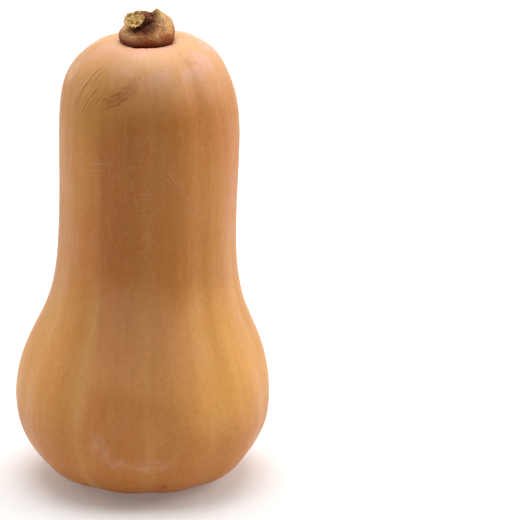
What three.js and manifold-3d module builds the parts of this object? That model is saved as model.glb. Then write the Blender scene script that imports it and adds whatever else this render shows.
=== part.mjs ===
// A butternut squash as picked, standing on its blossom end, with the dry stub of its stem.
// Millimetres, +Z up. The front is -Y, and the origin lies under the middle of the squash,
// on the surface that it stands on.
//
// It has two pieces. The fruit is one solid: a round belly, a thick neck, a domed shoulder with
// a shallow hollow for the stem, and at the blossom end a small flat ring round a scar. The stem
// is a squat woody stub with five blunt ridges. Its foot spreads over the hollow and swells to a
// shoulder at the right, and from there the stub bends to the left and to the front, where it
// ends in a torn face.

import * as THREE from "three";
import { NURBSCurve } from "three/addons/curves/NURBSCurve.js";
import { mergeVertices } from "three/addons/utils/BufferGeometryUtils.js";
import Module from "manifold-3d";

// The fruit's outline from the standing ring up to the middle of the hollow for the stem, as
// radius and height. The smooth outline starts and ends at the first and the last point, and
// is drawn towards the others.
const HEIGHT = 220;
const HOLLOW_RADIUS = 14;
const HOLLOW_FLOOR = 218.6;
const BODY_OUTLINE = [
  [17, 0],
  [28, 0],
  [45.7, 1.2],
  [55.3, 16.1],
  [61.1, 26],
  [63.1, 42],
  [60.8, 58],
  [55.4, 72],
  [47.9, 86],
  [44.7, 100],
  [43.3, 116],
  [42.7, 136],
  [43.4, 158],
  [43.8, 178],
  [42.3, 194],
  [38, 206],
  [31.8, 215],
  [20.1, 220.9],
  [HOLLOW_RADIUS, 219.3],
  [0.5 * HOLLOW_RADIUS, HOLLOW_FLOOR],
  [0, HOLLOW_FLOOR],
];

// The blossom end: a dimple with the scar, and the flat ring that the squash stands on.
const SCAR_RADIUS = 5;
const SCAR_DEPTH = 1.2;
const RING_INNER_RADIUS = 8;
const RING_OUTER_RADIUS = BODY_OUTLINE[0][0];

// How far the middle of the fruit departs from a straight upright line: it leans to the right,
// its belly, shoulder and dome are shifted sideways round a height, and its neck bows back.
const LEAN = 2.1;
const SHIFTS = [
  { sideways: -1.25, height: 48, spread: 38 },
  { sideways: 0.35, height: 170, spread: 26 },
  { sideways: -1.3, height: 206, spread: 14 },
];
const DEPTH_BOW = 1.4;
const CROWN_TILT = 0.02; // the dome's right side stands higher, as a slope

// Ten shallow furrows run from the stem to the blossom end, with broad crests between them.
const FURROWS = 10;
const FIRST_FURROW_DEG = -34;
const BELLY_FURROW_DEPTH = 1.2;
const NECK_FURROW_DEPTH = 0.6;
const BELLY_TOP = 70;
const NECK_START = 130;

// The stem's foot in level sections: the height above the hollow's floor, and how far the
// section reaches left, right, front and back of the stem's axis.
const STEM_X = 0.8;
const FOOT_SECTIONS = [
  [0, 10.8, 11.4, 12.7, 11.6],
  [1.2, 12.3, 13, 14.1, 12.8],
  [3.4, 13.1, 13.4, 14.4, 13.4],
  [5.4, 12.6, 13.5, 12.6, 13.3],
  [7.2, 11, 13.3, 9, 12.8],
  [8.8, 8, 12.8, 5.4, 11.4],
  [10.2, 4.4, 11.8, 3.4, 9.6],
  [11.6, 1, 10.6, 2.2, 7.4],
  [13.2, -1.8, 9, 1, 4.6],
  [15.2, -3.4, 6.8, 0.2, 2.4],
];
const FOOT_TOP = [4.9, 0.6, 16.4]; // the tip of the shoulder from the axis and above the floor
const FOOT_BLUNTNESS = 2.2; // a section is an ellipse at 2 and nears a rectangle above it
const RIDGES = 5;
const RIDGE_HEIGHT = 0.45;
const FIRST_RIDGE_DEG = -22;
const SEAT_GAP = 0.3; // between the stem's foot and the fruit

// The stub's middle line, from inside the shoulder to the torn end, from the stem's axis and
// above the hollow's floor, and its half thickness and half width.
const STUB_LINE = [
  [7, 3.6, 8],
  [4.4, 2.6, 10],
  [0.2, 1.4, 10.8],
  [-4.4, -1.6, 11.9],
  [-7.7, -6.8, 13.4],
];
const STUB_HALF_THICKNESS = [3, 3.8];
const STUB_HALF_WIDTH = [4, 5.2];
const STUB_RIDGE = 0.06;

// The torn face, as shares of the stub's length: how far its top leans back, how deep it is
// hollowed, and how far its rim is ragged.
const TORN_SLANT = 0.1;
const TORN_DEPTH = 0.1;
const TORN_RAG = 0.03;

// How finely the faces are cut.
const FRUIT_COLUMNS = 80;
const BODY_ROWS = 38;
const FOOT_COLUMNS = 44;
const FOOT_ROWS = 16;
const STUB_COLUMNS = 28;
const STUB_ROWS = 12;

const radians = THREE.MathUtils.degToRad;
const smoothstep = THREE.MathUtils.smoothstep;
const lerp = THREE.MathUtils.lerp;
const bell = (distance, spread) => Math.exp(-((distance / spread) ** 2));

// A smooth curve held by its two ends and drawn towards the points between them.
function smoothCurve(points) {
  const degree = 3;
  const inner = points.length - degree;
  const knots = [0, 0, 0];
  for (let i = 0; i <= inner; i++) knots.push(i / inner);
  knots.push(1, 1, 1);
  const controls = points.map(([x, y]) => new THREE.Vector4(x, y, 0, 1));
  return new NURBSCurve(degree, knots, controls);
}

const bodyCurve = smoothCurve(BODY_OUTLINE);

// The whole outline: the dimple and the flat ring, and then the body.
function fruitProfile() {
  const points = [
    new THREE.Vector2(0, 0.6 * SCAR_DEPTH),
    new THREE.Vector2(0.6 * SCAR_RADIUS, 0.7 * SCAR_DEPTH),
    new THREE.Vector2(SCAR_RADIUS, SCAR_DEPTH),
    new THREE.Vector2(lerp(SCAR_RADIUS, RING_INNER_RADIUS, 0.5), 0.45 * SCAR_DEPTH),
    new THREE.Vector2(RING_INNER_RADIUS, 0),
  ];
  return points.concat(bodyCurve.getPoints(BODY_ROWS).map((p) => new THREE.Vector2(p.x, p.y)));
}

// Where the middle of the fruit lies at a height.
function middleAt(z) {
  let x = LEAN * ((2 * z) / HEIGHT - 1);
  for (const shift of SHIFTS) x += shift.sideways * bell(z - shift.height, shift.spread);
  return [x, DEPTH_BOW * Math.sin((Math.PI * z) / HEIGHT)];
}

// How deep the furrows are at a height: none on the standing ring or in the hollow.
function furrowDepth(radius, z) {
  const alongBody = lerp(BELLY_FURROW_DEPTH, NECK_FURROW_DEPTH, smoothstep(z, BELLY_TOP, NECK_START));
  const fromRing = smoothstep(radius, RING_OUTER_RADIUS, 2 * RING_OUTER_RADIUS);
  const belowHollow = smoothstep(radius, HOLLOW_RADIUS, 2 * HOLLOW_RADIUS);
  return alongBody * (z < HEIGHT / 2 ? fromRing : belowHollow);
}

// The furrows' share of their depth round the fruit, from 0.3 on a crest to -1 in a furrow. The
// warp sets them a few degrees off an even spacing, and the strength makes some shallower.
function furrowShare(angle) {
  const warp = radians(3) * Math.sin(2 * angle - 0.3);
  const turn = 0.5 + 0.5 * Math.cos(FURROWS * (angle + warp - radians(FIRST_FURROW_DEG)));
  const strength = 0.8 + 0.2 * Math.sin(2 * angle + 1.3);
  return strength * (0.3 - 1.3 * turn ** 1.6);
}

// Slow swellings that keep the section from being a true circle.
function swelling(angle, z) {
  return 0.005 * Math.sin(2 * angle + 0.4 + 0.012 * z) + 0.004 * Math.sin(3 * angle - 1.1 + 0.017 * z);
}

// Carries a point of the turned shape to the grown shape. The angle runs from the front (-Y)
// round by the right (+X).
function grow(radius, z, angle) {
  const [x0, y0] = middleAt(z);
  const flat = z < HEIGHT / 2 ? smoothstep(radius, 0, 2 * RING_OUTER_RADIUS) : 1;
  const grown = radius * (1 + swelling(angle, z) * flat) + furrowDepth(radius, z) * furrowShare(angle);
  const x = grown * Math.sin(angle);
  const tilt = CROWN_TILT * x * smoothstep(z, 0.8 * HEIGHT, HEIGHT);
  return [x0 + x, y0 - grown * Math.cos(angle), z + tilt];
}

function makeFruit() {
  const geometry = new THREE.LatheGeometry(fruitProfile(), FRUIT_COLUMNS);
  const at = geometry.attributes.position;
  for (let i = 0; i < at.count; i++) {
    const radius = Math.hypot(at.getX(i), at.getZ(i));
    const angle = Math.atan2(at.getX(i), at.getZ(i));
    at.setXYZ(i, ...grow(radius, at.getY(i), angle));
  }
  return bare(geometry);
}

// A geometry with its positions only and its shared vertices merged.
function bare(geometry) {
  geometry.deleteAttribute("normal");
  geometry.deleteAttribute("uv");
  return mergeVertices(geometry, 1e-3);
}

// The height of the fruit's surface in and round the hollow, under a point beside the stem's axis.
const crownCurve = bodyCurve.getPoints(8 * BODY_ROWS).reverse();
function crownHeight(x, y) {
  const [crownX, crownY] = middleAt(HEIGHT);
  const distance = Math.hypot(x + STEM_X - crownX, y - crownY);
  const beyond = Math.max(crownCurve.findIndex((p) => p.x >= distance), 1);
  const inner = crownCurve[beyond - 1];
  const outer = crownCurve[beyond];
  const share = (distance - inner.x) / (outer.x - inner.x);
  return lerp(inner.y, outer.y, share) + CROWN_TILT * (x + STEM_X - crownX);
}

// The stem's foot: smooth blunt sections stacked on each other, closed under the foot and at the
// tip of its shoulder, with the ridges fading out towards the tip.
function makeFoot() {
  const sides = FOOT_SECTIONS.map(([z, left, right]) => new THREE.Vector3(-left, right, z));
  const depths = FOOT_SECTIONS.map(([z, , , front, back]) => new THREE.Vector3(-front, back, z));
  const [tipX, tipY, tipZ] = FOOT_TOP;
  sides.push(new THREE.Vector3(tipX, tipX, tipZ));
  depths.push(new THREE.Vector3(tipY, tipY, tipZ));
  const sideLine = new THREE.CatmullRomCurve3(sides, false, "catmullrom", 0.5);
  const depthLine = new THREE.CatmullRomCurve3(depths, false, "catmullrom", 0.5);
  const profile = [0, 0.35, 0.65, 0.88].map((share) => new THREE.Vector2(share, 0));
  for (let i = 0; i < FOOT_ROWS; i++) profile.push(new THREE.Vector2(1, i / FOOT_ROWS));
  profile.push(new THREE.Vector2(0, 1));
  const geometry = new THREE.LatheGeometry(profile, FOOT_COLUMNS);
  const at = geometry.attributes.position;
  for (let i = 0; i < at.count; i++) {
    const share = Math.hypot(at.getX(i), at.getZ(i));
    const angle = Math.atan2(at.getX(i), at.getZ(i));
    const t = at.getY(i);
    const side = sideLine.getPoint(t);
    const depth = depthLine.getPoint(t);
    const halfWidth = (side.y - side.x) / 2;
    const halfDepth = (depth.y - depth.x) / 2;
    const reach =
      (Math.abs(Math.sin(angle) / halfWidth) ** FOOT_BLUNTNESS +
        Math.abs(Math.cos(angle) / halfDepth) ** FOOT_BLUNTNESS) ** (-1 / FOOT_BLUNTNESS);
    const ridge = RIDGE_HEIGHT * (1 - t) * Math.cos(RIDGES * (angle - radians(FIRST_RIDGE_DEG)));
    const out = t < 1 ? share * (reach + ridge) : 0;
    const x = (side.x + side.y) / 2 + out * Math.sin(angle);
    const y = (depth.x + depth.y) / 2 - out * Math.cos(angle);
    const z = HOLLOW_FLOOR + side.z;
    at.setXYZ(i, STEM_X + x, y, Math.max(z, crownHeight(x, y) + SEAT_GAP));
  }
  return bare(geometry);
}

// The stub: a bent rod with blunt ridges that widens to its torn end. The torn face leans back,
// is hollowed in the middle and has a ragged rim.
function makeStub() {
  const points = STUB_LINE.map(([x, y, z]) => new THREE.Vector3(STEM_X + x, y, HOLLOW_FLOOR + z));
  const line = new THREE.CatmullRomCurve3(points);
  const profile = [new THREE.Vector2(0, 0)];
  for (let i = 0; i <= STUB_ROWS; i++) profile.push(new THREE.Vector2(1, i / STUB_ROWS));
  for (const share of [0.82, 0.6, 0.35, 0]) {
    profile.push(new THREE.Vector2(share, 1 - TORN_DEPTH * (1 - share ** 2)));
  }
  const geometry = new THREE.LatheGeometry(profile, STUB_COLUMNS);
  const at = geometry.attributes.position;
  const end = 1 - TORN_SLANT - TORN_RAG;
  for (let i = 0; i < at.count; i++) {
    const share = Math.hypot(at.getX(i), at.getZ(i));
    const angle = Math.atan2(at.getX(i), at.getZ(i));
    const along = at.getY(i);
    const nearEnd = smoothstep(along, 0.3, 1);
    const slant = TORN_SLANT * nearEnd * share * Math.cos(angle);
    const rim = smoothstep(along, 0.85, 1) * share ** 3;
    const ragged = TORN_RAG * rim * Math.sin(5 * angle + 1) * Math.sin(3 * angle);
    const t = end * along - slant + ragged;
    const ridge = 1 + STUB_RIDGE * Math.cos(RIDGES * angle);
    const thick = share * ridge * lerp(...STUB_HALF_THICKNESS, along) * Math.cos(angle);
    const wide = share * ridge * lerp(...STUB_HALF_WIDTH, along) * Math.sin(angle);
    const tangent = line.getTangent(t);
    const across = tangent.clone().cross(new THREE.Vector3(0, 0, 1)).normalize();
    const upward = across.clone().cross(tangent);
    const place = line.getPoint(t).addScaledVector(upward, thick).addScaledVector(across, wide);
    at.setXYZ(i, place.x, place.y, place.z);
  }
  return bare(geometry);
}

const wasm = await Module();
wasm.setup();

function solidOf(geometry) {
  return new wasm.Manifold(
    new wasm.Mesh({
      numProp: 3,
      vertProperties: new Float32Array(geometry.attributes.position.array),
      triVerts: new Uint32Array(geometry.index.array),
    }),
  );
}

function geometryOf(solid) {
  const mesh = solid.getMesh();
  return new THREE.BufferGeometry()
    .setAttribute("position", new THREE.BufferAttribute(new Float32Array(mesh.vertProperties), 3))
    .setIndex(new THREE.BufferAttribute(new Uint32Array(mesh.triVerts), 1));
}

// The stem in one solid: the foot and the stub joined.
function makeStem() {
  return geometryOf(solidOf(makeFoot()).add(solidOf(makeStub())).simplify(0.02));
}

function piece(name, geometry, colour, roughness) {
  const material = new THREE.MeshStandardMaterial({ color: colour, roughness, metalness: 0 });
  const mesh = new THREE.Mesh(geometry, material);
  mesh.name = name;
  return mesh;
}

const squash = new THREE.Group();
squash.add(piece("fruit", makeFruit(), 0xc98f5a, 0.5));
squash.add(piece("stem", makeStem(), 0x7d5536, 0.85));

// The origin goes under the middle of the squash's bounding box.
const bounds = new THREE.Box3().setFromObject(squash);
const middle = bounds.getCenter(new THREE.Vector3());
squash.position.set(-middle.x, -middle.y, -bounds.min.z);

export default squash;
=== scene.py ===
import math
from random import Random

import bpy
import numpy as np
from mathutils import Color, Matrix, Vector, noise


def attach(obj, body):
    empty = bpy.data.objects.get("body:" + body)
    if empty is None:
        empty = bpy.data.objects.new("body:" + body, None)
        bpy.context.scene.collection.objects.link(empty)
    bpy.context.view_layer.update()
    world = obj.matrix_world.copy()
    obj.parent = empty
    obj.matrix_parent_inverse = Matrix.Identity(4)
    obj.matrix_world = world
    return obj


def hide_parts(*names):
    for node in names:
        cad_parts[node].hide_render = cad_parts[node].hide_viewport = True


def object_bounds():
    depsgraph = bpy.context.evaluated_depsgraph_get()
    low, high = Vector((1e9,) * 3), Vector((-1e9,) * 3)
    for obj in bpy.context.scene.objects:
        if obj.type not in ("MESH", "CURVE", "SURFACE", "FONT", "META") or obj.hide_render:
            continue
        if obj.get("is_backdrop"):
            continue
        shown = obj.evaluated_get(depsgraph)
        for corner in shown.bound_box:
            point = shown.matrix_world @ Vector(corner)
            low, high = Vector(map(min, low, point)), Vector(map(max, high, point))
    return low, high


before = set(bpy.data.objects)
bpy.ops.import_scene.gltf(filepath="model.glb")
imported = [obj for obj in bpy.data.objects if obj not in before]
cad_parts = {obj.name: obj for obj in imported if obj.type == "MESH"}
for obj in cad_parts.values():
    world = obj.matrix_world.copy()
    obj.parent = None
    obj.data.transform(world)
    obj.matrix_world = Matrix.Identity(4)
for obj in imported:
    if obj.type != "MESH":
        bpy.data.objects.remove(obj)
cad_low, cad_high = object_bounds()
scene = bpy.context.scene


# The camera stands 2 m from the squash, a little above it, behind a long lens. Its aim is
# beside the squash, because the squash stands in the left half of the picture.
VIEW_DISTANCE = 2.0
VIEW_TILT = math.radians(19)
VIEW_FOCAL_PIXELS = 4122
PICTURE_PIXELS = 520
SENSOR_WIDTH = 36
BESIDE = 0.0547

aim = Vector((0.0028, -0.0009, 0.1083))
camera = bpy.data.objects.new("camera", bpy.data.cameras.new("camera"))
camera.data.sensor_width = SENSOR_WIDTH
camera.data.lens = VIEW_FOCAL_PIXELS * SENSOR_WIDTH / PICTURE_PIXELS
camera.data.clip_end = 50
camera.location = aim + VIEW_DISTANCE * Vector((0, -math.cos(VIEW_TILT), math.sin(VIEW_TILT)))
aim.x += BESIDE
camera.rotation_euler = (aim - camera.location).to_track_quat("-Z", "Y").to_euler()
scene.collection.objects.link(camera)
scene.camera = camera


# The fruit is one grown piece: firm flesh under a thin waxy rind. The rind keeps ten shallow
# furrows that run from the stem to the blossom end. Its dents, ripples, puckers and wrinkles
# are raised here on a finer copy of the plain solid. Sizes are in millimetres.
MM = 0.001
FURROWS = 10
FIRST_FURROW = math.radians(-34)
FURROW_WARP = math.radians(3)
# The lobes' tones: the two facing the front are darkest, as painted shade of the dimly lit front; the
# tones of the rest differ at random.
LOBE_TONES_AND_FRONT_SHADE = [1.0, 0.75, 0.3, 0.15, 0.5, 0.3, 0.65, 0.2, 0.35, 0.25]
LOBE_BLENDS = [0.18, 0.5, 0.48, 0.3, 0.45, 0.25, 0.4, 0.3, 0.5, 0.4]
FURROW_PALENESS = [1.0, 0.45, 0.35, 0.6, 0.3, 0.5, 0.75, 0.35, 0.6, 0.4]
NECK_RADIUS = 43
STEM_FOOT_RADIUS = 13.5
SCAR_RADIUS = 5
RING_OUTER_RADIUS = 17
CROWN_RADIUS = 34
CROWN_BOTTOM = 200
DENT_DEPTH = 0.35
DENT_SPACING = 34
RIPPLE_DEPTH = 0.12
RIPPLE_SPACING = 5
RIPPLE_LENGTH = 60
GRAIN_DEPTH = 0.05
GRAIN_SPACING = 3.5
PUCKER_DEPTH = 0.16
PUCKER_SPACING = 4.5
PUCKER_LENGTH = 40


def copy_of_node(name, piece_name):
    """A new object with the node's mesh, its loose triangles merged."""
    bpy.ops.object.select_all(action="DESELECT")
    piece = bpy.data.objects.new(piece_name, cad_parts[name].data.copy())
    scene.collection.objects.link(piece)
    piece.data.materials.clear()
    piece.select_set(True)
    bpy.context.view_layer.objects.active = piece
    bpy.ops.object.mode_set(mode="EDIT")
    bpy.ops.mesh.select_all(action="SELECT")
    bpy.ops.mesh.remove_doubles(threshold=0.01 * MM)
    bpy.ops.object.mode_set(mode="OBJECT")
    return piece


def finish_modifier(piece, kind, **settings):
    """Adds a modifier to the piece and applies it."""
    bpy.context.view_layer.objects.active = piece
    modifier = piece.modifiers.new(kind.title(), kind)
    for name, value in settings.items():
        setattr(modifier, name, value)
    bpy.ops.object.modifier_apply(modifier=modifier.name)


def points_of(piece, field):
    """The piece's places ("co") or normals as an array, in metres."""
    numbers = np.empty(3 * len(piece.data.vertices))
    piece.data.vertices.foreach_get(field, numbers)
    return numbers.reshape(-1, 3)


def move_points(piece, places):
    """Puts the piece's points at new places."""
    piece.data.vertices.foreach_set("co", np.ravel(places))
    piece.data.update()


def keep_shares(piece, **shares):
    """Keeps a number for each point of the piece, under its name, for the piece's material."""
    for name, values in shares.items():
        piece.data.attributes.new(name, "FLOAT", "POINT").data.foreach_set("value", values)


def smooth(value, low, high):
    """0 below low, 1 above high, and a smooth step between them."""
    share = min(max((value - low) / (high - low), 0), 1)
    return share * share * (3 - 2 * share)


def furrows_passed(angle):
    """How many furrows lie between the first one and an angle round the fruit."""
    return (angle + FURROW_WARP * math.sin(2 * angle - 0.3) - FIRST_FURROW) / math.tau * FURROWS


def lobe_tone_and_front_shade(angle):
    """How dark a lobe is painted: each has its own tone, darkest on the front lobes as painted shade,
    and the tone changes at the furrow.
    """
    turns = furrows_passed(angle)
    number = round(turns)
    before = LOBE_TONES_AND_FRONT_SHADE[(number - 1) % FURROWS]
    after = LOBE_TONES_AND_FRONT_SHADE[number % FURROWS]
    blend = LOBE_BLENDS[number % FURROWS]
    return before + (after - before) * smooth(turns - number, -blend, blend)


def furrow_share(angle):
    """How pale a furrow is in its middle, and 0 on the crests between the furrows."""
    turns = furrows_passed(angle)
    middle = 0.5 + 0.5 * math.cos(math.tau * turns)
    return FURROW_PALENESS[round(turns) % FURROWS] * (0.4 * middle ** 4 + 0.6 * middle ** 18)


fruit = copy_of_node("fruit", "squash_fruit")
bpy.ops.object.mode_set(mode="EDIT")
bpy.ops.mesh.select_all(action="SELECT")
QUAD_LIMIT = math.radians(60)
bpy.ops.mesh.tris_convert_to_quads(face_threshold=QUAD_LIMIT, shape_threshold=QUAD_LIMIT)
bpy.ops.object.mode_set(mode="OBJECT")
finish_modifier(fruit, "SUBSURF", levels=2, render_levels=2)

# The left of the shoulder is wrinkled and scarred, so its faces are split small enough there to
# cut thin grooves and pits into them.
WRINKLED_PLACE = Vector((-23, -26, 203))
WRINKLED_REACH = 25
bpy.ops.object.mode_set(mode="EDIT")
bpy.ops.mesh.select_mode(type="FACE")
bpy.ops.mesh.select_all(action="DESELECT")
bpy.ops.object.mode_set(mode="OBJECT")
for face in fruit.data.polygons:
    face.select = (face.center / MM - WRINKLED_PLACE).length < WRINKLED_REACH
bpy.ops.object.mode_set(mode="EDIT")
bpy.ops.mesh.subdivide(number_cuts=3, smoothness=1)
bpy.ops.mesh.vertices_smooth(factor=0.5, repeat=4)
bpy.ops.object.mode_set(mode="OBJECT")

# The outline's length from the blossom end, which the lengthwise grain is drawn along.
HALF_HEIGHT = 110
OUTLINE_STEPS = 90
places = points_of(fruit, "co") / MM
normals = points_of(fruit, "normal")
polar = np.arctan2(places[:, 2] - HALF_HEIGHT, np.hypot(places[:, 0], places[:, 1]))
bins = np.linspace(polar.min(), polar.max(), OUTLINE_STEPS)
outline = []
for low, high in zip(bins[:-1], bins[1:]):
    inside = places[(polar >= low) & (polar <= high)]
    if len(inside):
        radius = np.hypot(inside[:, 0], inside[:, 1]).mean()
        outline.append(((low + high) / 2, radius, inside[:, 2].mean()))
outline = np.array(outline)
steps = np.hypot(np.diff(outline[:, 1]), np.diff(outline[:, 2]))
lengths = np.concatenate([[0], np.cumsum(steps)])
along = np.interp(polar, outline[:, 0], lengths)


def seen_from(middle, way):
    """Each point's place along a way on the skin, across it, and above it, from a middle."""
    along_way = Vector(way).normalized()
    outward = Vector((middle[0], middle[1], 15)).normalized()
    across = outward.cross(along_way).normalized()
    axes = np.array([along_way, across, along_way.cross(across)])
    return ((places - np.array(middle)) @ axes.T).T


# Wrinkles run down the shoulder, each a groove between two low lips that fades out at both ends.
# Each entry gives a wrinkle's place across them, its two ends along them and its depth.
WRINKLES = [
    (-9.2, -4, 9, 0.08), (-6.8, -3, 11, 0.12), (-4.9, -8, 7, 0.13), (-2.7, -10, 6, 0.15),
    (0.2, -13, 13, 0.26), (1.6, 1, 14, 0.11), (2.9, -15, -1, 0.15), (4.8, -4, 13, 0.1),
    (7.0, -9, 14, 0.17), (9.1, -4, 16, 0.11), (11.3, -10, 13, 0.12),
]
WRINKLE_MIDDLE = (-25, -24.5, 203.5)
DOWN_SHOULDER = (-0.54, 0.09, -0.83)
WRINKLE_HALF_WIDTH = 0.34
WRINKLE_FADE = 5
WRINKLE_FULL_DEPTH = 0.28
LIP_PLACE = 0.9
LIP_HALF_WIDTH = 0.5
LIP_SHARE = 0.3
SHOULDER_THICKNESS = 14
down, over, above = seen_from(WRINKLE_MIDDLE, DOWN_SHOULDER)
wrinkle = np.zeros(len(places))
wrinkle_moves = np.zeros(len(places))
for number, (across, start, end, depth) in enumerate(WRINKLES):
    line = across + 0.22 * np.sin(down / 3.7 + 5 * number) + 0.1 * np.sin(down / 1.3 + number)
    off_line = np.abs(over - line)
    ends = np.clip((down - start) / WRINKLE_FADE, 0, 1) * np.clip((end - down) / WRINKLE_FADE, 0, 1)
    ends *= np.abs(above) < SHOULDER_THICKNESS
    groove = np.exp(-((off_line / WRINKLE_HALF_WIDTH) ** 2)) * ends
    groove *= 0.75 + 0.25 * np.sin(down / 1.7 + 2 * number)
    lip = np.exp(-(((off_line - LIP_PLACE) / LIP_HALF_WIDTH) ** 2)) * ends
    wrinkle_moves += depth * (LIP_SHARE * lip - groove)
    wrinkle = np.maximum(wrinkle, groove * depth / WRINKLE_FULL_DEPTH)

# The scar beside them is three curved grooves, each dotted with small long pits.
SCAR_MIDDLE = (-10, -37.4, 201.4)
ALONG_SCAR = (12.8, -1.5, 8.6)
SCAR_ROWS = 3
ROW_SPACING = 2.1
ROW_BEND = 0.022
ROW_HALF_WIDTH = 0.4
ROW_HALF_LENGTH = 12
PITS_IN_ROW = 16
PIT_SPACING = 1.4
PIT_STRETCH = 1.7
PIT_DEPTH = 0.22
PIT_FADE = 14
SCAR_THICKNESS = 10
random = Random(4)
down, over, above = seen_from(SCAR_MIDDLE, ALONG_SCAR)
near_skin = np.abs(above) < SCAR_THICKNESS
pit = np.zeros(len(places))
for row in range(SCAR_ROWS):
    row_middle = ROW_SPACING * (row - 1)
    row_place = row_middle + ROW_BEND * down**2 + 0.3 * np.sin(down / 1.1 + 2 * row)
    fade = np.clip(1 - np.abs(down) / ROW_HALF_LENGTH, 0, 1) * near_skin
    pit = np.maximum(pit, 0.45 * fade * np.exp(-(((over - row_place) / ROW_HALF_WIDTH) ** 2)))
    for step in range(PITS_IN_ROW):
        pit_down = (step - (PITS_IN_ROW - 1) / 2) * PIT_SPACING + random.uniform(-0.5, 0.5)
        pit_over = row_middle + ROW_BEND * pit_down**2 + random.uniform(-0.6, 0.6)
        reach = random.uniform(0.32, 0.55)
        deep = random.uniform(0.4, 1) * (1 - abs(pit_down) / PIT_FADE)
        away = ((down - pit_down) / PIT_STRETCH) ** 2 + (over - pit_over) ** 2
        pit = np.maximum(pit, deep * np.exp(-away / reach**2) * near_skin)

# Dents, lengthwise ripples and a fine unevenness cover the skin, and puckers draw in to the stem
# and to the blossom scar.
furrow = []
tone = []
grain = []
moves = np.zeros_like(places)
for number, length in enumerate(along):
    x, y, z = places[number]
    radius = math.hypot(x, y)
    angle = math.atan2(x, -y)
    round_place = Vector((math.sin(angle), math.cos(angle), 0)) * NECK_RADIUS
    off_ring = smooth(z, 0.4, 8)
    dents = noise.noise(Vector((x, y, z)) / DENT_SPACING) * DENT_DEPTH
    ripples = noise.noise(round_place / RIPPLE_SPACING + Vector((0, 0, length / RIPPLE_LENGTH)))
    fine = noise.noise(Vector((x, y, z)) / GRAIN_SPACING + Vector((7, 0, 0))) * GRAIN_DEPTH
    by_stem = smooth(radius, CROWN_RADIUS, STEM_FOOT_RADIUS) * (z > CROWN_BOTTOM)
    by_scar = smooth(radius, RING_OUTER_RADIUS, SCAR_RADIUS) * (z < 5)
    pucker = noise.noise(round_place / PUCKER_SPACING + Vector((3, 0, length / PUCKER_LENGTH)))
    pucker *= PUCKER_DEPTH
    relief = (dents + ripples * RIPPLE_DEPTH + fine) * off_ring + pucker * by_stem
    moves[number] = normals[number] * relief
    moves[number, 2] += abs(pucker) * by_scar
    furrow.append(furrow_share(angle) * smooth(radius, STEM_FOOT_RADIUS, 26))
    tone.append(lobe_tone_and_front_shade(angle))
    grain.append((round_place.x, round_place.y, length))

marks_relief = wrinkle_moves - PIT_DEPTH * pit
move_points(fruit, (places + moves + normals * marks_relief[:, None]) * MM)
keep_shares(fruit, wrinkle=wrinkle, pit=pit, furrow=furrow, tone=tone)
fruit.data.attributes.new("grain", "FLOAT_VECTOR", "POINT").data.foreach_set("vector", np.ravel(grain))
bpy.ops.object.shade_smooth()


def node(tree, kind, inputs=None, **settings):
    """A new shader node. An input is linked where its value is a socket, and else set."""
    made = tree.nodes.new(kind)
    for name, value in settings.items():
        setattr(made, name, value)
    for name, value in (inputs or {}).items():
        if isinstance(value, bpy.types.NodeSocket):
            tree.links.new(value, made.inputs[name])
        else:
            made.inputs[name].default_value = value
    return made


def paint(red, green, blue):
    """A screen colour, from 0 to 255 in each channel, as the shader takes it."""
    return (*Color((red / 255, green / 255, blue / 255)).from_srgb_to_scene_linear(), 1)


def mix(tree, factor, first, second):
    """Two colours mixed."""
    made = node(tree, "ShaderNodeMix", data_type="RGBA")
    for socket, value in zip((made.inputs[0], made.inputs[6], made.inputs[7]), (factor, first, second)):
        if isinstance(value, bpy.types.NodeSocket):
            tree.links.new(value, socket)
        else:
            socket.default_value = value
    return made.outputs[2]


def calc(tree, operation, first, second=0.0):
    """A sum on one or two values."""
    made = node(tree, "ShaderNodeMath", {0: first, 1: second}, operation=operation)
    return made.outputs[0]


def highest(tree, *values):
    """The highest of some values."""
    most = values[0]
    for value in values[1:]:
        most = calc(tree, "MAXIMUM", most, value)
    return most


def tint(tree, ground, mask, share, colour):
    """The ground with a share of a colour laid over it where the mask is."""
    return mix(tree, calc(tree, "MULTIPLY", mask, share), ground, colour)


def attribute(tree, name):
    """A number that the mesh keeps for each of its points."""
    return node(tree, "ShaderNodeAttribute", attribute_name=name).outputs["Fac"]


def ramp(tree, value, low, high, start=0.0, end=1.0):
    """A value carried from the range low to high over to the range start to end, with soft ends."""
    settings = {"Value": value, "From Min": low, "From Max": high, "To Min": start, "To Max": end}
    return node(tree, "ShaderNodeMapRange", settings, interpolation_type="SMOOTHSTEP").outputs[0]


def stretched(tree, vector, scale, move=(0, 0, 0)):
    """A place scaled by its own number along each axis, and then moved."""
    made = node(tree, "ShaderNodeVectorMath", {0: vector, 1: scale, 2: move}, operation="MULTIPLY_ADD")
    return made.outputs[0]


def distance(tree, place, middle):
    """How far a place lies from a middle."""
    return node(tree, "ShaderNodeVectorMath", {0: place, 1: middle}, operation="DISTANCE").outputs[1]


def cloud(tree, vector, scale, detail=2.0, roughness=0.5):
    """Smooth noise about 0.5 with so many features a millimetre."""
    inputs = {"Vector": vector, "Scale": scale, "Detail": detail, "Roughness": roughness}
    return node(tree, "ShaderNodeTexNoise", inputs).outputs[0]


def new_group(name, inputs, outputs):
    """An empty shader group with float and vector sockets, and its two end nodes."""
    group = bpy.data.node_groups.new(name, "ShaderNodeTree")
    for socket, value in inputs.items():
        kind = "NodeSocketVector" if value is None else "NodeSocketFloat"
        made = group.interface.new_socket(socket, in_out="INPUT", socket_type=kind)
        if value is not None:
            made.default_value = value
    for socket in outputs:
        group.interface.new_socket(socket, in_out="OUTPUT", socket_type="NodeSocketFloat")
    return group, group.nodes.new("NodeGroupInput").outputs, group.nodes.new("NodeGroupOutput").inputs


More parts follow.
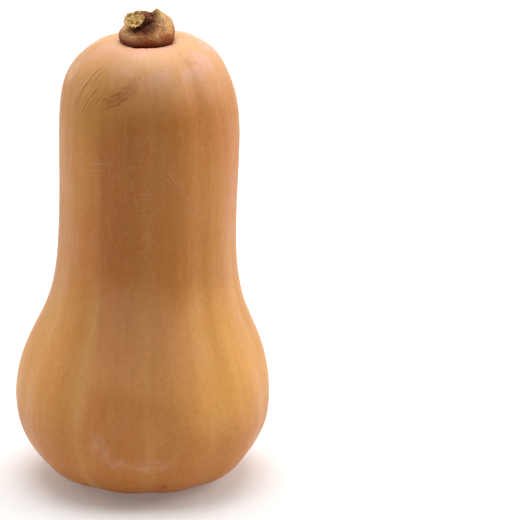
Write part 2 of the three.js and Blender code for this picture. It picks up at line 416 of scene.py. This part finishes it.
# Small ragged spots scattered over a skin: the pores and the brown flecks of the rind.
spots_group, given, result = new_group(
    "spots", {"Place": None, "Spots per mm": 0.5, "Size": 0.2, "Share": 0.5, "Ragged": 0.3}, ["Mask"]
)
cells = node(
    spots_group, "ShaderNodeTexVoronoi", {"Vector": given["Place"], "Scale": given["Spots per mm"]}
)
wobble = calc(spots_group, "MULTIPLY", cloud(spots_group, given["Place"], 1.7, 2), given["Ragged"])
edge = calc(spots_group, "ADD", cells.outputs["Distance"], wobble)
inside = calc(spots_group, "SUBTRACT", calc(spots_group, "ADD", given["Size"], given["Ragged"]), edge)
lot = node(spots_group, "ShaderNodeSeparateColor", {0: cells.outputs["Color"]}).outputs[0]
chosen = calc(spots_group, "LESS_THAN", lot, given["Share"])
mask = calc(spots_group, "MULTIPLY", ramp(spots_group, inside, 0.0, 0.12), chosen)
spots_group.links.new(mask, result["Mask"])

# A marked place on a skin. It lies round its own middle. Its lines are thin, run along its own
# X axis and break off at random, and its blots are ragged patches.
mark_group, given, result = new_group(
    "mark", {"Place": None, "Lines": 6.0, "Stretch": 0.5, "Width": 0.03, "Fill": 0.5, "Seed": 0.0},
    ["Lines", "Blots", "Area"],
)
reach = node(mark_group, "ShaderNodeVectorMath", {0: given["Place"]}, operation="LENGTH").outputs[1]
fray = calc(mark_group, "MULTIPLY", cloud(mark_group, given["Place"], 1.6, 3), 0.7)
area = ramp(mark_group, calc(mark_group, "ADD", reach, fray), 1.35, 0.7)
density = node(
    mark_group, "ShaderNodeCombineXYZ", {0: given["Stretch"], 1: given["Lines"], 2: given["Stretch"]}
).outputs[0]
pattern = stretched(mark_group, given["Place"], density, given["Seed"])
shape = cloud(mark_group, pattern, 1.0, 3, 0.5)
off_line = calc(mark_group, "ABSOLUTE", calc(mark_group, "SUBTRACT", shape, 0.5))
line = ramp(mark_group, off_line, given["Width"], 0.0)
breaks = ramp(mark_group, cloud(mark_group, pattern, 2.3, 2), 0.4, 0.55)
broken_line = calc(mark_group, "MULTIPLY", line, breaks)
blot = ramp(mark_group, shape, given["Fill"], calc(mark_group, "ADD", given["Fill"], 0.12))
mark_group.links.new(calc(mark_group, "MULTIPLY", broken_line, area), result["Lines"])
mark_group.links.new(calc(mark_group, "MULTIPLY", blot, area), result["Blots"])
mark_group.links.new(area, result["Area"])


def use_group(tree, group, inputs):
    """A group placed in a material with its own values."""
    return node(tree, "ShaderNodeGroup", inputs, node_tree=group)


def mark(tree, skin, middle, way, half_length, half_width, depth=9, **pattern):
    """One mark on the rind: its middle and its way on the fruit in millimetres, and its pattern."""
    x_axis = Vector(way).normalized()
    outward = Vector((middle[0], middle[1], 0)).normalized()
    y_axis = outward.cross(x_axis).normalized()
    z_axis = x_axis.cross(y_axis)
    turn = Matrix((x_axis, y_axis, z_axis)).transposed().to_euler()
    size = (half_length, half_width, depth)
    settings = {"Vector": skin, "Location": middle, "Rotation": turn, "Scale": size}
    local = node(tree, "ShaderNodeMapping", settings, vector_type="TEXTURE")
    return use_group(tree, mark_group, {"Place": local.outputs[0], **pattern}).outputs


rind = bpy.data.materials.new("waxy_rind")
rind.use_nodes = True
tree = rind.node_tree
surface = tree.nodes["Principled BSDF"]
here = node(tree, "ShaderNodeTexCoord").outputs["Object"]
skin = node(tree, "ShaderNodeVectorMath", {0: here, "Scale": 1 / MM}, operation="SCALE").outputs[0]
grain_place = node(tree, "ShaderNodeAttribute", attribute_name="grain").outputs["Vector"]
in_furrow = attribute(tree, "furrow")
in_wrinkle = attribute(tree, "wrinkle")
in_pit = attribute(tree, "pit")
lobe = attribute(tree, "tone")
height = node(tree, "ShaderNodeSeparateXYZ", {0: skin}).outputs[2]

# The ground colour drifts from ochre to tan orange, with peach patches.
OCHRE = paint(208, 142, 60)
TAN_ORANGE = paint(206, 126, 50)
PEACH = paint(214, 148, 92)
BROWN_LOBE_AND_SHADE = paint(170, 96, 26)
GOLDEN_BELLY = paint(224, 156, 76)
BROWN_BASE = paint(186, 112, 46)
PAINTED_CROWN_LIGHT = paint(238, 185, 138)
PINK_CROWN = paint(240, 184, 164)
PALE_FURROW = paint(226, 172, 104)
drift = cloud(tree, stretched(tree, grain_place, (1, 1, 0.45)), 0.028, 3)
ground = mix(tree, ramp(tree, drift, 0.4, 0.62), OCHRE, TAN_ORANGE)
patches = cloud(tree, stretched(tree, grain_place, (1, 1, 0.6), (40, 0, 0)), 0.045, 4)
ground = mix(tree, ramp(tree, patches, 0.45, 0.75, 0, 0.5), ground, PEACH)
ground = mix(tree, ramp(tree, height, 132, 62, 0, 0.8), ground, GOLDEN_BELLY)
ground = mix(tree, ramp(tree, height, 58, 22, 0, 0.75), ground, BROWN_BASE)
# The neck's lobes are tinted brown by their tones: painted shade on the front lobes, which are darkest,
# and tones that differ at random on the rest.
on_neck = calc(tree, "MULTIPLY", ramp(tree, height, 45, 135, 0.2, 1), ramp(tree, height, 210, 190))
ground = tint(tree, ground, calc(tree, "MULTIPLY", lobe, on_neck), 0.85, BROWN_LOBE_AND_SHADE)
# Painted top light: the rind is painted paler towards the crown.
ground = mix(tree, ramp(tree, height, 186, 221, 0, 0.75), ground, PAINTED_CROWN_LIGHT)
blush = cloud(tree, stretched(tree, skin, (1, 1, 1), (5, 5, 0)), 0.07, 3)
blushing = calc(tree, "MULTIPLY", ramp(tree, height, 200, 219), ramp(tree, blush, 0.42, 0.62))
ground = tint(tree, ground, blushing, 0.75, PINK_CROWN)

# The belly has ripened in patches: dull pink brown above, golden at both sides, orange below.
dull_patch = mark(tree, skin, (-3, -52, 74), (1, 0, 0), 46, 44, 50, Seed=41.0)
gold_right = mark(tree, skin, (31, -38, 72), (0, 0, 1), 46, 36, 44, Seed=43.0)
gold_left = mark(tree, skin, (-42, -18, 82), (0, 0, 1), 20, 16, 20, Seed=45.0)
orange_patch = mark(tree, skin, (-11, -58, 46), (1, 0, 0), 36, 24, 30, Seed=47.0)
ground = tint(tree, ground, gold_right["Area"], 0.55, paint(244, 176, 88))
ground = tint(tree, ground, dull_patch["Area"], 0.5, paint(226, 160, 112))
ground = tint(tree, ground, gold_left["Area"], 0.4, paint(218, 158, 78))
ground = tint(tree, ground, orange_patch["Area"], 0.55, paint(196, 114, 40))

# The furrows show as broken pale bands, thin streaks run along them, and a fine mottle covers all.
fades = cloud(tree, stretched(tree, grain_place, (1, 1, 0.4), (0, 9, 0)), 0.05, 2)
fades = ramp(tree, fades, 0.35, 0.6, 0.25, 0.65)
on_belly = ramp(tree, height, 135, 85, 0.3, 1)
band = calc(tree, "MULTIPLY", calc(tree, "MULTIPLY", in_furrow, on_belly), fades)
ground = mix(tree, band, ground, PALE_FURROW)
streaks = cloud(tree, stretched(tree, grain_place, (1, 1, 0.07)), 0.42, 3)
ground = mix(tree, ramp(tree, streaks, 0.35, 0.7, 0, 0.1), ground, paint(160, 98, 40))
pale_streaks = cloud(tree, stretched(tree, grain_place, (1, 1, 0.1), (0, 50, 0)), 0.3, 3)
ground = mix(tree, ramp(tree, pale_streaks, 0.5, 0.75, 0, 0.12), ground, PALE_FURROW)
mottle = cloud(tree, stretched(tree, grain_place, (1, 1, 0.8), (0, 0, 5)), 0.55, 5, 0.65)
ground = mix(tree, ramp(tree, mottle, 0.46, 0.7, 0, 0.12), ground, PALE_FURROW)
ground = mix(tree, ramp(tree, mottle, 0.54, 0.3, 0, 0.14), ground, paint(164, 96, 42))

# Pores: fine pale spots all over, and a few brown flecks.
pores = use_group(tree, spots_group, {"Place": skin, "Spots per mm": 0.9, "Size": 0.1, "Share": 0.5})
ground = tint(tree, ground, pores.outputs[0], 0.2, paint(226, 176, 128))
fleck_place = stretched(tree, skin, (1, 1, 1), (13, 0, 0))
fleck_look = {"Place": fleck_place, "Spots per mm": 0.16, "Size": 0.03, "Share": 0.12}
flecks = use_group(tree, spots_group, fleck_look)
ground = tint(tree, ground, flecks.outputs[0], 0.25, paint(150, 92, 50))

# The blossom scar under the fruit: a round corky button with a dark rim.
BLOSSOM_END = (0.4, -0.9, 0.0)
from_end = distance(tree, skin, BLOSSOM_END)
ragged_end = calc(tree, "ADD", from_end, calc(tree, "MULTIPLY", cloud(tree, skin, 0.6, 4), 2.4))
button = ramp(tree, ragged_end, SCAR_RADIUS + 2.2, SCAR_RADIUS + 1.2)
rim = calc(tree, "MULTIPLY", ramp(tree, ragged_end, SCAR_RADIUS + 5, SCAR_RADIUS + 2.2), 0.5)
ground = mix(tree, rim, ground, paint(160, 104, 58))
cork_tone = ramp(tree, cloud(tree, skin, 1.4, 5, 0.65), 0.4, 0.62)
cork_colour = mix(tree, cork_tone, paint(108, 72, 42), paint(176, 142, 104))
ground = tint(tree, ground, button, 0.9, cork_colour)

# Marks of growth and handling: the darker wrinkles and the scar on the left of the shoulder, a
# rubbed pale patch beside them, thin scratches on the neck, dull smears low on the belly, and
# one small dark spot under them.
shoulder = mark(tree, skin, WRINKLE_MIDDLE, DOWN_SHOULDER, 42, 38, 38)
scar = mark(
    tree, skin, SCAR_MIDDLE, ALONG_SCAR, 14, 6, Lines=3.4, Stretch=2.2, Fill=0.5, Seed=4.0
)
rubbed = mark(
    tree, skin, (-32.2, -9.2, 206.5), (0.3, 0.5, -1), 8, 5, Lines=3.0, Stretch=2.0, Fill=0.4, Seed=8.0
)
left_lines = mark(
    tree, skin, (-18, -37, 166), (9, -6, 1.5), 12, 7, Lines=3.0, Stretch=0.3, Width=0.03, Seed=12.0
)
right_lines = mark(
    tree, skin, (15, -42, 164), (5.6, 1.7, -10), 13, 7, Lines=3.0, Stretch=0.25, Width=0.03, Seed=17.0
)
middle_lines = mark(
    tree, skin, (4, -43, 152), (10, 0, 3), 14, 10, Lines=3.0, Stretch=0.3, Width=0.02, Seed=19.0
)
smear_left = mark(
    tree, skin, (-20, -58, 33), (0.3, 0, -1), 12, 6, Lines=3.0, Stretch=2.6, Fill=0.46, Seed=21.0
)
smear_low = mark(
    tree, skin, (-12, -58.4, 26), (1, 0, -0.35), 12, 5, Lines=3.0, Stretch=2.6, Fill=0.5, Seed=26.0
)
smear_right = mark(
    tree, skin, (4, -58.6, 24), (1, 0, 0.05), 15, 6, Lines=3.0, Stretch=2.6, Fill=0.52, Seed=31.0
)
dark_spot = mark(
    tree, skin, (9.3, -50.8, 10.4), (1, 0, 0), 3, 2, Lines=1.0, Stretch=1.0, Fill=0.2, Seed=36.0
)

ground = tint(tree, ground, shoulder["Area"], 0.55, paint(192, 134, 56))
ground = tint(tree, ground, in_wrinkle, 0.6, paint(140, 84, 30))
ground = tint(tree, ground, scar["Area"], 0.4, paint(190, 112, 54))
ground = tint(tree, ground, scar["Blots"], 0.2, paint(160, 92, 44))
ground = tint(tree, ground, in_pit, 0.8, paint(124, 64, 20))
ground = tint(tree, ground, rubbed["Blots"], 0.4, paint(236, 196, 168))
scratches = highest(tree, left_lines["Lines"], right_lines["Lines"], middle_lines["Lines"])
ground = tint(tree, ground, scratches, 0.3, paint(218, 158, 118))
smears = highest(tree, smear_left["Blots"], smear_low["Blots"], smear_right["Blots"])
haze = highest(tree, smear_left["Area"], smear_low["Area"], smear_right["Area"])
ground = tint(tree, ground, haze, 0.12, paint(214, 168, 136))
ground = tint(tree, ground, smears, 0.28, paint(220, 180, 150))
ground = tint(tree, ground, dark_spot["Blots"], 0.5, paint(120, 72, 38))
tree.links.new(ground, surface.inputs["Base Color"])

# The wax is nearly even, but the smears, the scar and the wrinkles are dull.
shine = ramp(tree, cloud(tree, skin, 0.12, 3), 0.3, 0.7, 0.4, 0.5)
dull = highest(tree, smears, scar["Area"], in_wrinkle)
shine = calc(tree, "ADD", shine, calc(tree, "MULTIPLY", dull, 0.2))
tree.links.new(shine, surface.inputs["Roughness"])
surface.inputs["Specular IOR Level"].default_value = 0.26
surface.inputs["Coat Weight"].default_value = 0.05
surface.inputs["Coat Roughness"].default_value = 0.35

# Relief in millimetres, finer than the mesh: a leathery grain, streaks, pores, the blots of the
# shoulder's scar, and the cork of the blossom scar.
relief = calc(tree, "MULTIPLY", cloud(tree, skin, 1.1, 4, 0.6), 0.05)
relief = calc(tree, "ADD", relief, calc(tree, "MULTIPLY", streaks, 0.06))
relief = calc(tree, "ADD", relief, calc(tree, "MULTIPLY", pores.outputs[0], 0.015))
relief = calc(tree, "SUBTRACT", relief, calc(tree, "MULTIPLY", scar["Blots"], 0.03))
rough_button = calc(tree, "MULTIPLY", button, cork_tone)
relief = calc(tree, "ADD", relief, calc(tree, "MULTIPLY", rough_button, 0.4))
bump = node(tree, "ShaderNodeBump", {"Height": relief, "Distance": MM, "Strength": 1.0})
tree.links.new(bump.outputs[0], surface.inputs["Normal"])

fruit.data.materials.append(rind)
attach(fruit, "root")
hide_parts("fruit")


# The stem is the dry stub of the fruit stalk, grown into the crown: corky bark over woody
# fibres, five blunt ridges, and a straw-coloured end where it tore off the vine.
VOXEL = 0.3
SEAT_CLEARANCE = 0.3
LUMP_DEPTH = 0.34
LUMP_SPACING = 3.2
BARK_WRINKLES = 19
BARK_WRINKLE_DEPTH = 0.12
GRIT_DEPTH = 0.1
GRIT_SPACING = 0.75
TORN_DEPTH = 0.75
TORN_BOTTOM = 227.2
FIBRE_SPACING = 0.85
SHRED_SPACING = 2.6
PITH_SWELL = 1.6
TORN_MIDDLE = Vector((-3.3, -6.4, 231.6))
TORN_WAY = Vector((-0.5, -0.82, 0.28)).normalized()
TORN_ACROSS = TORN_WAY.cross(Vector((0, 0, 1))).normalized()
TORN_UP = TORN_ACROSS.cross(TORN_WAY)
TORN_HALF_WIDTH = 5.9
TORN_HALF_HEIGHT = 4.6
STEM_MIDDLE_X = 3.5

stem = copy_of_node("stem", "squash_stem")
finish_modifier(stem, "REMESH", mode="VOXEL", voxel_size=VOXEL * MM)
finish_modifier(stem, "SMOOTH", factor=0.5, iterations=6)


def hollowness(piece, passes, full_depth):
    """Each point's depth below its neighbours' mean, as a share of a full depth in millimetres."""
    places = points_of(piece, "co") / MM
    normals = points_of(piece, "normal")
    ends = np.empty(2 * len(piece.data.edges), dtype=int)
    piece.data.edges.foreach_get("vertices", ends)
    first, second = ends.reshape(-1, 2).T
    count = np.bincount(ends, minlength=len(places))[:, None]
    mean = places.copy()
    for _ in range(passes):
        total = np.zeros_like(mean)
        np.add.at(total, first, mean[second])
        np.add.at(total, second, mean[first])
        mean = total / count
    return np.clip(np.einsum("ij,ij->i", mean - places, normals) / full_depth, 0, 1)


# The stem's hollows and, after the relief, its creases are kept for the bark's painted shade.
hollows = hollowness(stem, 60, 0.5)
places = points_of(stem, "co") / MM
normals = points_of(stem, "normal")
lowest = places[:, 2].min()
moves = np.zeros_like(places)
torn = []
for number in range(len(places)):
    place = Vector(places[number])
    off = place - TORN_MIDDLE
    rim = math.hypot(off.dot(TORN_ACROSS) / TORN_HALF_WIDTH, off.dot(TORN_UP) / TORN_HALF_HEIGHT)
    facing = TORN_WAY.dot(normals[number])
    end = smooth(facing, 0.1, 0.45) * smooth(off.dot(TORN_WAY), -4.5, -3.5)
    end = max(end, smooth(rim, 0.78, 0.68) * smooth(facing, -0.7, -0.4))
    end *= smooth(off.dot(TORN_WAY), -7.5, -6.5) * smooth(rim, 1.12, 1.0)
    end *= smooth(place.z, TORN_BOTTOM, TORN_BOTTOM + 0.8)
    around = math.atan2(place.x - STEM_MIDDLE_X, -place.y)
    wrinkles = math.cos(BARK_WRINKLES * around + 4 * noise.noise(place / 6))
    wrinkles *= 0.5 + 0.6 * noise.noise(place / 5 + Vector((9, 0, 0)))
    lumps = noise.noise(place / LUMP_SPACING) + 0.45 * noise.noise(place / 1.5)
    grit = noise.noise(place / GRIT_SPACING) + 0.6 * noise.noise(place / 0.45)
    cork = LUMP_DEPTH * lumps + BARK_WRINKLE_DEPTH * wrinkles + GRIT_DEPTH * grit
    across, up = off.dot(TORN_ACROSS), off.dot(TORN_UP)
    fibre = Vector((across + up, off.dot(TORN_WAY), up * 0.4))
    net = 1 - abs(noise.noise(fibre / FIBRE_SPACING + Vector((0, 0, 3)))) * 4
    shreds = 0.28 * net + 0.8 * noise.noise(place / SHRED_SPACING + Vector((4, 4, 0)))
    lip = smooth(rim, 0.62, 0.85) * (0.5 + 0.9 * noise.noise(place / 1.8 + Vector((2, 0, 8))))
    pith = smooth(rim, 0.75, 0.3) * PITH_SWELL
    straw = TORN_DEPTH * (shreds + lip + pith)
    off_seat = smooth(place.z, lowest + SEAT_CLEARANCE, lowest + 1.6)
    moves[number] = normals[number] * (cork * (1 - end) * off_seat + straw * end)
    torn.append(end)
places += moves
places[:, 2] = np.minimum(places[:, 2], cad_high.z / MM)
move_points(stem, places * MM)
creases = hollowness(stem, 6, 0.12)
keep_shares(stem, torn=torn, hollow=hollows, crease=creases)
bpy.ops.object.shade_smooth()

bark = bpy.data.materials.new("corky_stem")
bark.use_nodes = True
tree = bark.node_tree
surface = tree.nodes["Principled BSDF"]
here = node(tree, "ShaderNodeTexCoord").outputs["Object"]
skin = node(tree, "ShaderNodeVectorMath", {0: here, "Scale": 1 / MM}, operation="SCALE").outputs[0]
torn_share = attribute(tree, "torn")
hollow_shade = attribute(tree, "hollow")
crease_shade = attribute(tree, "crease")
along_axes = node(tree, "ShaderNodeSeparateXYZ", {0: skin}).outputs

# Bark: tan cork over red-brown with grey weathered patches. Its left is painted paler as painted light
# over its own weathered cork, and its top right is paler. It is darker at its foot, partly its own bark
# and partly painted shade where it meets the fruit, and painted shade darkens the saddle on its top
# and, darkest, the hollow below the torn end.
SADDLE_SHADE_PLACE = (4.5, -0.5, 231.0)
SHADED_HOLLOW_PLACE = (2.0, -7.5, 229.0)
RED_BARK = paint(160, 78, 22)
TAN_BARK = paint(206, 140, 74)
GREY_BARK_AND_LIGHT = paint(242, 206, 150)
DARK_BARK_AND_SHADE = paint(118, 44, 6)
FOOT_BARK_AND_SHADE = paint(112, 28, 2)
PALE_CORK = paint(240, 196, 140)
SHADE_BROWN = paint(66, 16, 2)
cork = mix(tree, ramp(tree, cloud(tree, skin, 0.2, 4), 0.4, 0.6), RED_BARK, TAN_BARK)
# Grey patches of weathered cork. The left side is also painted paler, as painted light over its own
# weathered cork, and the top right is paler.
weathered_and_left_light = ramp(tree, cloud(tree, skin, 0.16, 3), 0.5, 0.7, 0, 0.5)
weathered_and_left_light = calc(tree, "ADD", weathered_and_left_light, ramp(tree, along_axes[0], 1, -9, 0, 0.75))
paler_top_right = ramp(tree, along_axes[2], 222, 233, 0, 0.8)
paler_top_right = calc(tree, "MULTIPLY", paler_top_right, ramp(tree, along_axes[0], 5.5, 9, 0, 1))
weathered_and_left_light = calc(tree, "ADD", weathered_and_left_light, paler_top_right)
cork = tint(tree, cork, weathered_and_left_light, 0.8, GREY_BARK_AND_LIGHT)
# Painted shade: the saddle between the torn end and the peak is painted dark brown.
from_saddle_shade = distance(tree, skin, SADDLE_SHADE_PLACE)
cork = mix(tree, ramp(tree, from_saddle_shade, 6.5, 2.5, 0, 0.8), cork, DARK_BARK_AND_SHADE)
dark_flecks = ramp(tree, cloud(tree, skin, 0.8, 5, 0.65), 0.5, 0.72)
cork = tint(tree, cork, dark_flecks, 0.7, DARK_BARK_AND_SHADE)
pale_flecks = ramp(tree, cloud(tree, skin, 1.3, 4, 0.65), 0.49, 0.65)
cork = tint(tree, cork, pale_flecks, 0.65, PALE_CORK)
# Darker towards the foot: partly its own dark bark, partly painted shade where it meets the fruit.
cork = mix(tree, ramp(tree, along_axes[2], lowest + 8.5, lowest + 1, 0, 0.93), cork, FOOT_BARK_AND_SHADE)
# Painted shade: the hollow below the torn end, and the stem's hollows and creases, are painted near
# black-brown.
from_shaded_hollow = distance(tree, skin, SHADED_HOLLOW_PLACE)
from_shaded_hollow = calc(tree, "ADD", from_shaded_hollow, calc(tree, "MULTIPLY", cloud(tree, skin, 0.5, 3), 3.0))
cork = mix(tree, ramp(tree, from_shaded_hollow, 11.5, 5.0, 0, 0.85), cork, SHADE_BROWN)
cork = tint(tree, cork, hollow_shade, 0.9, SHADE_BROWN)
cork = tint(tree, cork, crease_shade, 0.6, SHADE_BROWN)

# The torn end: pale shredded fibres over darker pith.
STRAW = paint(255, 220, 146)
DARK_STRAW = paint(180, 122, 54)
strands = cloud(tree, stretched(tree, skin, (1.0, 1.0, 0.6)), 1.3, 4, 0.65)
straw = mix(tree, ramp(tree, strands, 0.4, 0.58), DARK_STRAW, STRAW)
# Painted shade darkens the creases between the torn fibres.
straw = tint(tree, straw, crease_shade, 0.7, paint(116, 76, 34))
bark_colour = mix(tree, ramp(tree, torn_share, 0.15, 0.5), cork, straw)
tree.links.new(bark_colour, surface.inputs["Base Color"])
tree.links.new(ramp(tree, cloud(tree, skin, 0.6, 3), 0.3, 0.7, 0.72, 0.9), surface.inputs["Roughness"])
surface.inputs["Specular IOR Level"].default_value = 0.2
relief = calc(tree, "MULTIPLY", cloud(tree, skin, 2.4, 5, 0.65), 0.22)
bump = node(tree, "ShaderNodeBump", {"Height": relief, "Distance": MM, "Strength": 1.0})
tree.links.new(bump.outputs[0], surface.inputs["Normal"])

stem.data.materials.append(bark)
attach(stem, "root")
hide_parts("stem")


# The studio: a wide white floor, one soft light on each side and one above, and a surround
# that is bright at the sides and at the back and dim behind the camera.
FLOOR_HALF = 6
bpy.ops.mesh.primitive_plane_add(size=2 * FLOOR_HALF, location=(0, 0, cad_low.z))
floor = bpy.context.object
floor.name = "floor"
white = bpy.data.materials.new("white_floor")
white.use_nodes = True
surface = white.node_tree.nodes["Principled BSDF"]
surface.inputs["Base Color"].default_value = (0.86, 0.86, 0.86, 1)
surface.inputs["Roughness"].default_value = 0.9
surface.inputs["Specular IOR Level"].default_value = 0.1
surface.inputs["Emission Color"].default_value = (1, 1, 1, 1)
surface.inputs["Emission Strength"].default_value = 0.14
floor.data.materials.append(white)
floor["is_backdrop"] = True


def softbox(name, place, size, power):
    """A square soft light that faces the squash."""
    light = bpy.data.lights.new(name, "AREA")
    light.size = size
    light.energy = power
    lamp = bpy.data.objects.new(name, light)
    lamp.location = place
    lamp.rotation_euler = (Vector((0, 0, 0.12)) - lamp.location).to_track_quat("-Z", "Y").to_euler()
    scene.collection.objects.link(lamp)


softbox("left_light", (-1.5, 0.3, 0.8), 1.0, 3)
softbox("right_light", (1.5, 0.1, 0.9), 1.0, 10)
softbox("top_light", (0.0, 0.25, 1.8), 1.6, 27)

world = bpy.data.worlds.new("surround")
scene.world = world
world.use_nodes = True
sky = world.node_tree
around = node(sky, "ShaderNodeTexCoord").outputs["Generated"]
direction = node(sky, "ShaderNodeSeparateXYZ", {0: around})
level = ramp(sky, direction.outputs[1], -0.6, 0.5, 0.03, 0.9)
sky.nodes["Background"].inputs["Color"].default_value = (1, 1, 1, 1)
sky.links.new(level, sky.nodes["Background"].inputs["Strength"])
scene.view_settings.view_transform = "Standard"

low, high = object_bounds()
